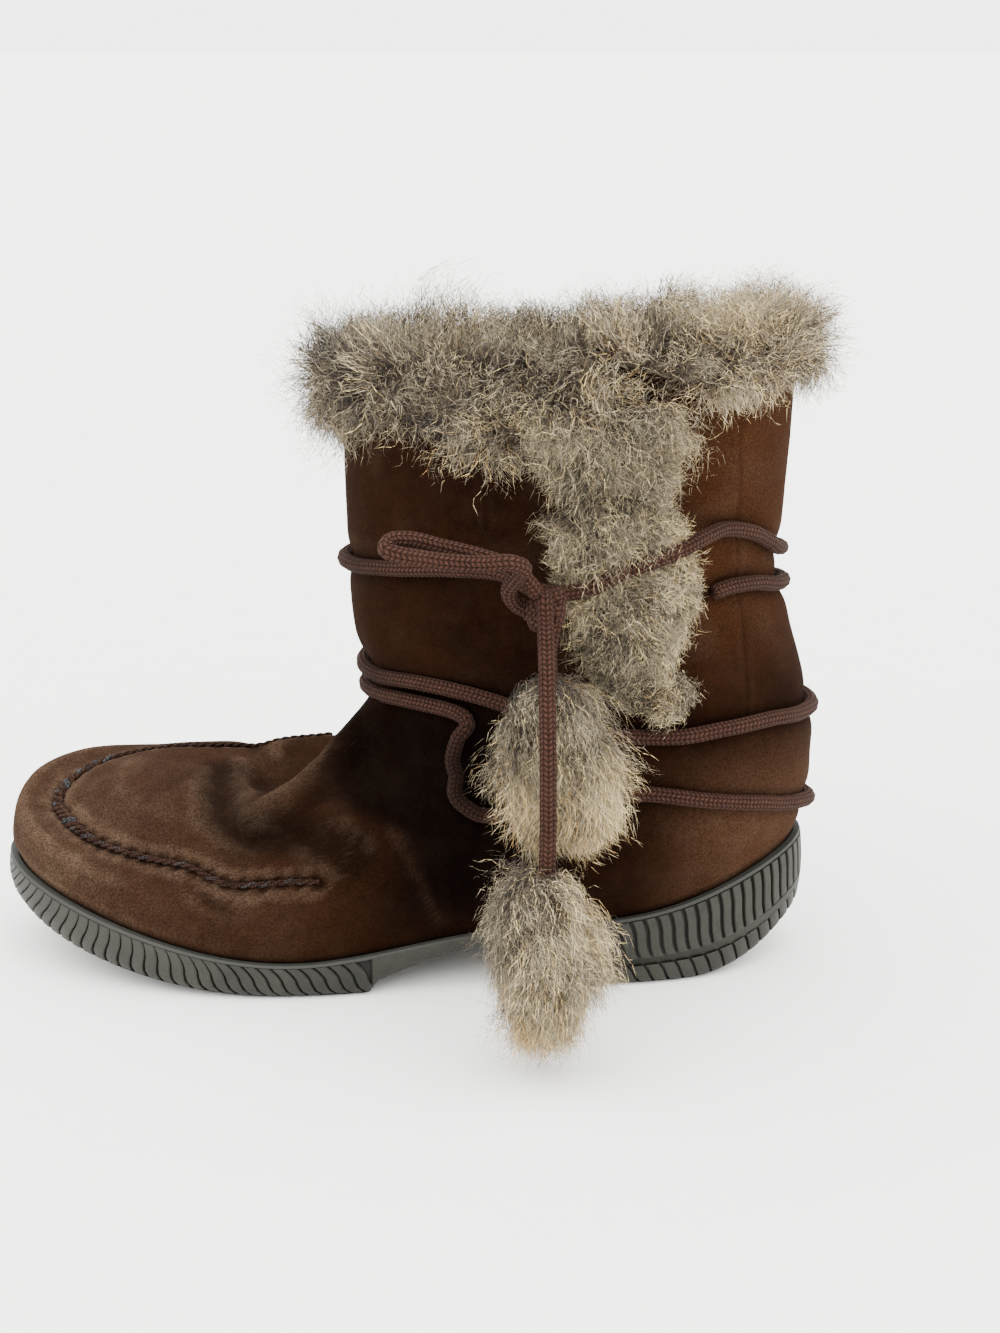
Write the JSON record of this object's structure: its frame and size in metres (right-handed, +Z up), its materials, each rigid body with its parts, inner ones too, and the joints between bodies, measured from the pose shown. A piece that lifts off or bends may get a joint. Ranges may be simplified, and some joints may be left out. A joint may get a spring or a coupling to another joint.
{
  "type": "fur-trimmed ankle boot",
  "caption": "Slouchy brown suede ankle boot with a fur cuff and flap, a wrapped cord lace with pompoms, and a grooved rubber cup sole.",
  "frame": {"origin": "on the floor, in the middle of the heel's flat resting face", "axes": "toe along -X, outer side of the foot along -Y, +Z up"},
  "size_m": [0.2741, 0.1728, 0.216],
  "materials": {
    "rubber": "matte moulded",
    "fleece": "short pile",
    "suede": "napped",
    "fur": "long curly pile",
    "lace": "braided"
  },
  "bodies": {
    "root": {"outsole": "rubber", "insole": "fleece", "upper": "suede", "fur_cuff": "fur", "fur_placket": "fur", "lace_ring": "lace", "lace_spiral": "lace", "knot": "lace", "bow_loop": "lace", "short_cord": "lace", "long_cord": "lace", "pompom_upper": "fur", "pompom_lower": "fur"}
  },
  "joints": []
}
